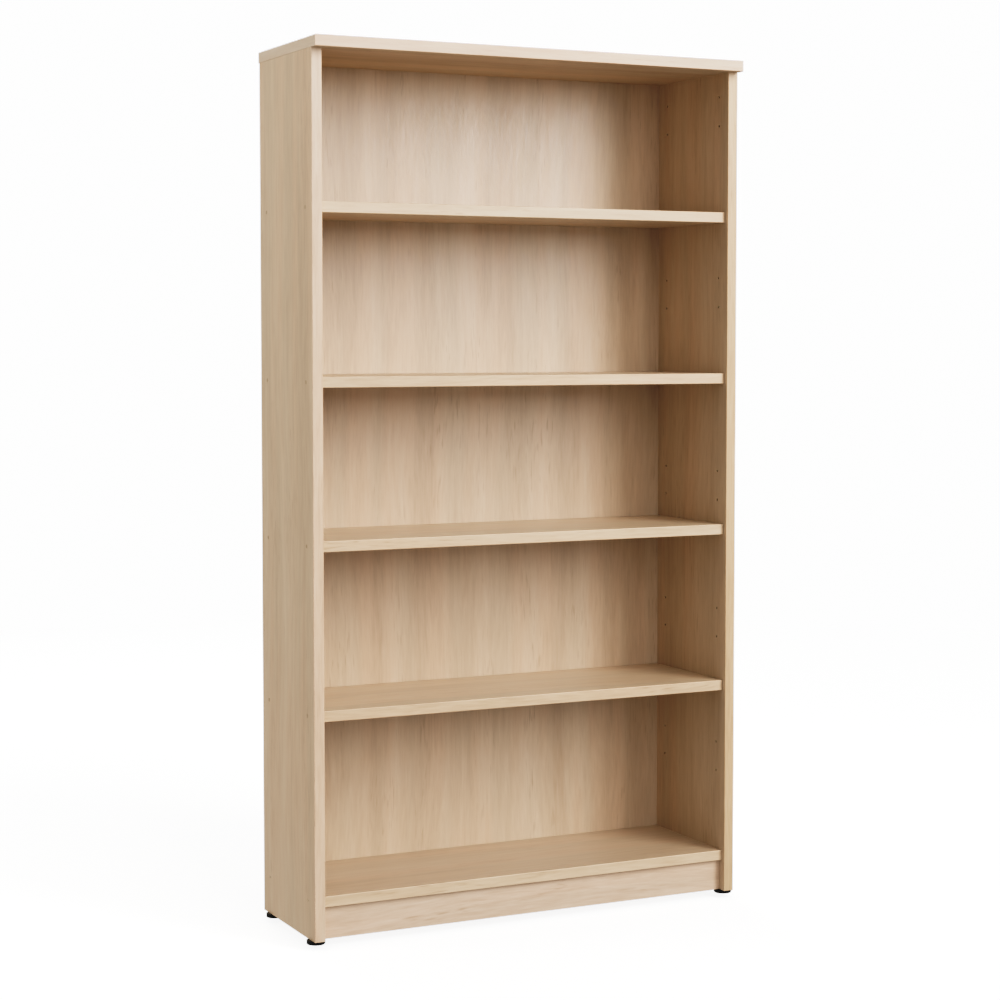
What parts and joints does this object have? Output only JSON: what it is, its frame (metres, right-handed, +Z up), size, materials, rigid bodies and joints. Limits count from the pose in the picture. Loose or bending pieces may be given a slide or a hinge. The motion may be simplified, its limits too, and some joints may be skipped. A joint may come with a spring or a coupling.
{
  "type": "bookcase with adjustable shelves",
  "caption": "Tall open bookcase: side panels, overhanging top, plinth and thin back, with shelves that lift off support pins set in drilled hole rows, on black levelling feet.",
  "frame": {"origin": "on the floor under the middle of the bookcase's overall box", "axes": "+Z up; the open front faces -Y and the back panel +Y; +X is to the right of someone facing the front"},
  "size_m": [1.015, 0.328, 1.846],
  "materials": {
    "laminate": "fine straight-grained light oak laminate, satin",
    "edge_band": "light oak edge band, satin, rounded corners",
    "back_board": "thin laminated hardboard, light oak, satin",
    "beech": "plain fluted-dowel beech",
    "bronzed_steel": "light brown bronzed steel, satin",
    "zinc_steel": "zinc-plated steel",
    "black_plastic": "moulded black plastic"
  },
  "bodies": {
    "carcass": {"top_panel": "laminate", "top_front_band": "edge_band", "top_left_band": "edge_band", "top_right_band": "edge_band", "top_dowels": "beech", "left_side_panel": "laminate", "right_side_panel": "laminate", "left_side_front_band": "edge_band", "right_side_front_band": "edge_band", "bottom_shelf_board": "laminate", "bottom_shelf_front_band": "edge_band", "bottom_shelf_screws": "bronzed_steel", "plinth_board": "laminate", "plinth_dowels": "beech", "back_panel": "back_board", "back_panel_screws": "zinc_steel", "foot_inserts": "zinc_steel"},
    "shelf_1": {"shelf_1_board": "laminate", "shelf_1_front_band": "edge_band"},
    "shelf_2": {"shelf_2_board": "laminate", "shelf_2_front_band": "edge_band"},
    "shelf_3": {"shelf_3_board": "laminate", "shelf_3_front_band": "edge_band"},
    "shelf_4": {"shelf_4_board": "laminate", "shelf_4_front_band": "edge_band"},
    "shelf_1_pin_front_left": {"shelf_1_pin_front_left": "bronzed_steel"},
    "shelf_1_pin_rear_left": {"shelf_1_pin_rear_left": "bronzed_steel"},
    "shelf_1_pin_front_right": {"shelf_1_pin_front_right": "bronzed_steel"},
    "shelf_1_pin_rear_right": {"shelf_1_pin_rear_right": "bronzed_steel"},
    "shelf_2_pin_front_left": {"shelf_2_pin_front_left": "bronzed_steel"},
    "shelf_2_pin_rear_left": {"shelf_2_pin_rear_left": "bronzed_steel"},
    "shelf_2_pin_front_right": {"shelf_2_pin_front_right": "bronzed_steel"},
    "shelf_2_pin_rear_right": {"shelf_2_pin_rear_right": "bronzed_steel"},
    "shelf_3_pin_front_left": {"shelf_3_pin_front_left": "bronzed_steel"},
    "shelf_3_pin_rear_left": {"shelf_3_pin_rear_left": "bronzed_steel"},
    "shelf_3_pin_front_right": {"shelf_3_pin_front_right": "bronzed_steel"},
    "shelf_3_pin_rear_right": {"shelf_3_pin_rear_right": "bronzed_steel"},
    "shelf_4_pin_front_left": {"shelf_4_pin_front_left": "bronzed_steel"},
    "shelf_4_pin_rear_left": {"shelf_4_pin_rear_left": "bronzed_steel"},
    "shelf_4_pin_front_right": {"shelf_4_pin_front_right": "bronzed_steel"},
    "shelf_4_pin_rear_right": {"shelf_4_pin_rear_right": "bronzed_steel"},
    "foot_pad_front_left": {"foot_pad_front_left": "black_plastic"},
    "foot_stud_front_left": {"foot_stud_front_left": "zinc_steel"},
    "foot_pad_rear_left": {"foot_pad_rear_left": "black_plastic"},
    "foot_stud_rear_left": {"foot_stud_rear_left": "zinc_steel"},
    "foot_pad_front_right": {"foot_pad_front_right": "black_plastic"},
    "foot_stud_front_right": {"foot_stud_front_right": "zinc_steel"},
    "foot_pad_rear_right": {"foot_pad_rear_right": "black_plastic"},
    "foot_stud_rear_right": {"foot_stud_rear_right": "zinc_steel"}
  },
  "joints": [
    {"name": "shelf_1_lift", "type": "slide", "parent": "carcass", "child": "shelf_1", "axis": [0, 0, 1], "range_m": [0, 0.32]},
    {"name": "shelf_2_lift", "type": "slide", "parent": "carcass", "child": "shelf_2", "axis": [0, 0, 1], "range_m": [0, 0.306]},
    {"name": "shelf_3_lift", "type": "slide", "parent": "carcass", "child": "shelf_3", "axis": [0, 0, 1], "range_m": [0, 0.326]},
    {"name": "shelf_4_lift", "type": "slide", "parent": "carcass", "child": "shelf_4", "axis": [0, 0, 1], "range_m": [0, 0.3]},
    {"name": "shelf_1_pin_front_left_pull", "type": "slide", "parent": "carcass", "child": "shelf_1_pin_front_left", "axis": [-1, 0, 0], "range_m": [0, 0.034]},
    {"name": "shelf_1_pin_rear_left_pull", "type": "slide", "parent": "carcass", "child": "shelf_1_pin_rear_left", "axis": [-1, 0, 0], "range_m": [0, 0.034]},
    {"name": "shelf_1_pin_front_right_pull", "type": "slide", "parent": "carcass", "child": "shelf_1_pin_front_right", "axis": [1, 0, 0], "range_m": [0, 0.034]},
    {"name": "shelf_1_pin_rear_right_pull", "type": "slide", "parent": "carcass", "child": "shelf_1_pin_rear_right", "axis": [1, 0, 0], "range_m": [0, 0.034]},
    {"name": "shelf_2_pin_front_left_pull", "type": "slide", "parent": "carcass", "child": "shelf_2_pin_front_left", "axis": [-1, 0, 0], "range_m": [0, 0.034]},
    {"name": "shelf_2_pin_rear_left_pull", "type": "slide", "parent": "carcass", "child": "shelf_2_pin_rear_left", "axis": [-1, 0, 0], "range_m": [0, 0.034]},
    {"name": "shelf_2_pin_front_right_pull", "type": "slide", "parent": "carcass", "child": "shelf_2_pin_front_right", "axis": [1, 0, 0], "range_m": [0, 0.034]},
    {"name": "shelf_2_pin_rear_right_pull", "type": "slide", "parent": "carcass", "child": "shelf_2_pin_rear_right", "axis": [1, 0, 0], "range_m": [0, 0.034]},
    {"name": "shelf_3_pin_front_left_pull", "type": "slide", "parent": "carcass", "child": "shelf_3_pin_front_left", "axis": [-1, 0, 0], "range_m": [0, 0.034]},
    {"name": "shelf_3_pin_rear_left_pull", "type": "slide", "parent": "carcass", "child": "shelf_3_pin_rear_left", "axis": [-1, 0, 0], "range_m": [0, 0.034]},
    {"name": "shelf_3_pin_front_right_pull", "type": "slide", "parent": "carcass", "child": "shelf_3_pin_front_right", "axis": [1, 0, 0], "range_m": [0, 0.034]},
    {"name": "shelf_3_pin_rear_right_pull", "type": "slide", "parent": "carcass", "child": "shelf_3_pin_rear_right", "axis": [1, 0, 0], "range_m": [0, 0.034]},
    {"name": "shelf_4_pin_front_left_pull", "type": "slide", "parent": "carcass", "child": "shelf_4_pin_front_left", "axis": [-1, 0, 0], "range_m": [0, 0.034]},
    {"name": "shelf_4_pin_rear_left_pull", "type": "slide", "parent": "carcass", "child": "shelf_4_pin_rear_left", "axis": [-1, 0, 0], "range_m": [0, 0.034]},
    {"name": "shelf_4_pin_front_right_pull", "type": "slide", "parent": "carcass", "child": "shelf_4_pin_front_right", "axis": [1, 0, 0], "range_m": [0, 0.034]},
    {"name": "shelf_4_pin_rear_right_pull", "type": "slide", "parent": "carcass", "child": "shelf_4_pin_rear_right", "axis": [1, 0, 0], "range_m": [0, 0.034]},
    {"name": "foot_front_left_height", "type": "slide", "parent": "carcass", "child": "foot_pad_front_left", "axis": [0, 0, -1], "range_m": [0, 0.01]},
    {"name": "foot_front_left_thread", "type": "hinge", "parent": "foot_pad_front_left", "child": "foot_stud_front_left", "pos_m": [-0.4885, -0.116, 0], "axis": [0, 0, -1], "range_deg": [0, 2881]},
    {"name": "foot_rear_left_height", "type": "slide", "parent": "carcass", "child": "foot_pad_rear_left", "axis": [0, 0, -1], "range_m": [0, 0.01]},
    {"name": "foot_rear_left_thread", "type": "hinge", "parent": "foot_pad_rear_left", "child": "foot_stud_rear_left", "pos_m": [-0.4885, 0.123, 0], "axis": [0, 0, -1], "range_deg": [0, 2881]},
    {"name": "foot_front_right_height", "type": "slide", "parent": "carcass", "child": "foot_pad_front_right", "axis": [0, 0, -1], "range_m": [0, 0.01]},
    {"name": "foot_front_right_thread", "type": "hinge", "parent": "foot_pad_front_right", "child": "foot_stud_front_right", "pos_m": [0.4885, -0.116, 0], "axis": [0, 0, -1], "range_deg": [0, 2881]},
    {"name": "foot_rear_right_height", "type": "slide", "parent": "carcass", "child": "foot_pad_rear_right", "axis": [0, 0, -1], "range_m": [0, 0.01]},
    {"name": "foot_rear_right_thread", "type": "hinge", "parent": "foot_pad_rear_right", "child": "foot_stud_rear_right", "pos_m": [0.4885, 0.123, 0], "axis": [0, 0, -1], "range_deg": [0, 2881]}
  ],
  "couplings": [
    {"joint": "foot_front_left_thread", "follows": "foot_front_left_height", "rad_per_m": 5026.5},
    {"joint": "foot_rear_left_thread", "follows": "foot_rear_left_height", "rad_per_m": 5026.5},
    {"joint": "foot_front_right_thread", "follows": "foot_front_right_height", "rad_per_m": 5026.5},
    {"joint": "foot_rear_right_thread", "follows": "foot_rear_right_height", "rad_per_m": 5026.5}
  ]
}
